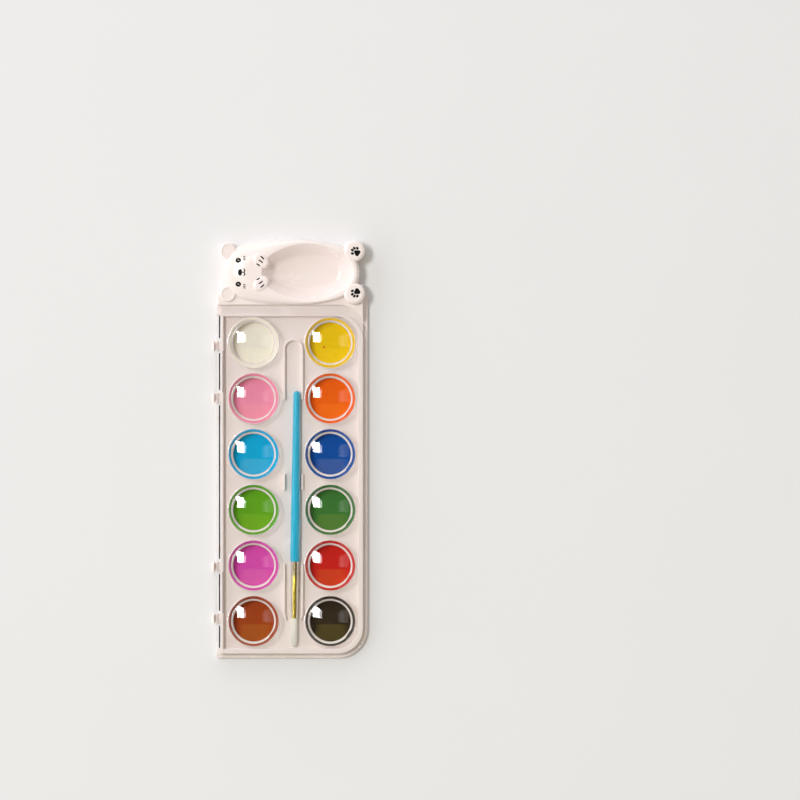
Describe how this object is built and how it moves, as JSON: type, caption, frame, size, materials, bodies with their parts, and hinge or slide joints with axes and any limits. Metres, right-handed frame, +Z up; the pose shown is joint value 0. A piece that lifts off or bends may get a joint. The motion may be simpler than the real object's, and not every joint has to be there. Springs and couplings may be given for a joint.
{
  "type": "watercolour paint set",
  "caption": "Flat watercolour paint set with a bear-shaped mixing tub, round paint wells in two columns, a clear hinged bubble lid and a brush in its channel.",
  "frame": {"origin": "bottom centre of the whole closed set, on the surface that it lies on", "axes": "+Z up out of the lid, +Y along the set to the bear's end, +X away from the lid's hinge"},
  "size_m": [0.0935, 0.2514, 0.0159],
  "materials": {
    "tray": "glossy warm white injection moulding",
    "clear_lid": "polished clear plastic",
    "paint_cream": "dry pressed watercolour, satin",
    "paint_yellow": "dry pressed watercolour, satin",
    "paint_pink": "dry pressed watercolour, satin",
    "paint_orange": "dry pressed watercolour, satin",
    "paint_sky_blue": "dry pressed watercolour, satin",
    "paint_royal_blue": "dry pressed watercolour, satin",
    "paint_light_green": "dry pressed watercolour, satin",
    "paint_green": "dry pressed watercolour, satin",
    "paint_orchid": "dry pressed watercolour, satin",
    "paint_red": "dry pressed watercolour, satin",
    "paint_brown": "dry pressed watercolour, satin",
    "paint_black": "dry pressed watercolour, satin",
    "brush_handle": "glossy cyan moulded plastic",
    "ferrule": "bright drawn aluminium with two crimps",
    "bristles": "cream nylon filaments"
  },
  "bodies": {
    "tray_body": {"tray": "tray", "paint_cream": "paint_cream", "paint_yellow": "paint_yellow", "paint_pink": "paint_pink", "paint_orange": "paint_orange", "paint_sky_blue": "paint_sky_blue", "paint_royal_blue": "paint_royal_blue", "paint_light_green": "paint_light_green", "paint_green": "paint_green", "paint_orchid": "paint_orchid", "paint_red": "paint_red", "paint_brown": "paint_brown", "paint_black": "paint_black"},
    "lid_body": {"lid": "clear_lid"},
    "brush_body": {"brush_handle": "brush_handle", "brush_ferrule": "ferrule", "brush_bristles": "bristles"}
  },
  "joints": [
    {"name": "lid_hinge", "type": "hinge", "parent": "tray_body", "child": "lid_body", "pos_m": [-0.04455, -0.0201, 0.0064], "axis": [0, -1, 0], "range_deg": [0, 170]},
    {"name": "brush_lift", "type": "slide", "parent": "tray_body", "child": "brush_body", "axis": [0, 0, 1], "range_m": [0, 0.03]}
  ],
  "couplings": [
    {"joint": "brush_lift", "follows": "lid_hinge", "m_per_rad": 0.01}
  ]
}
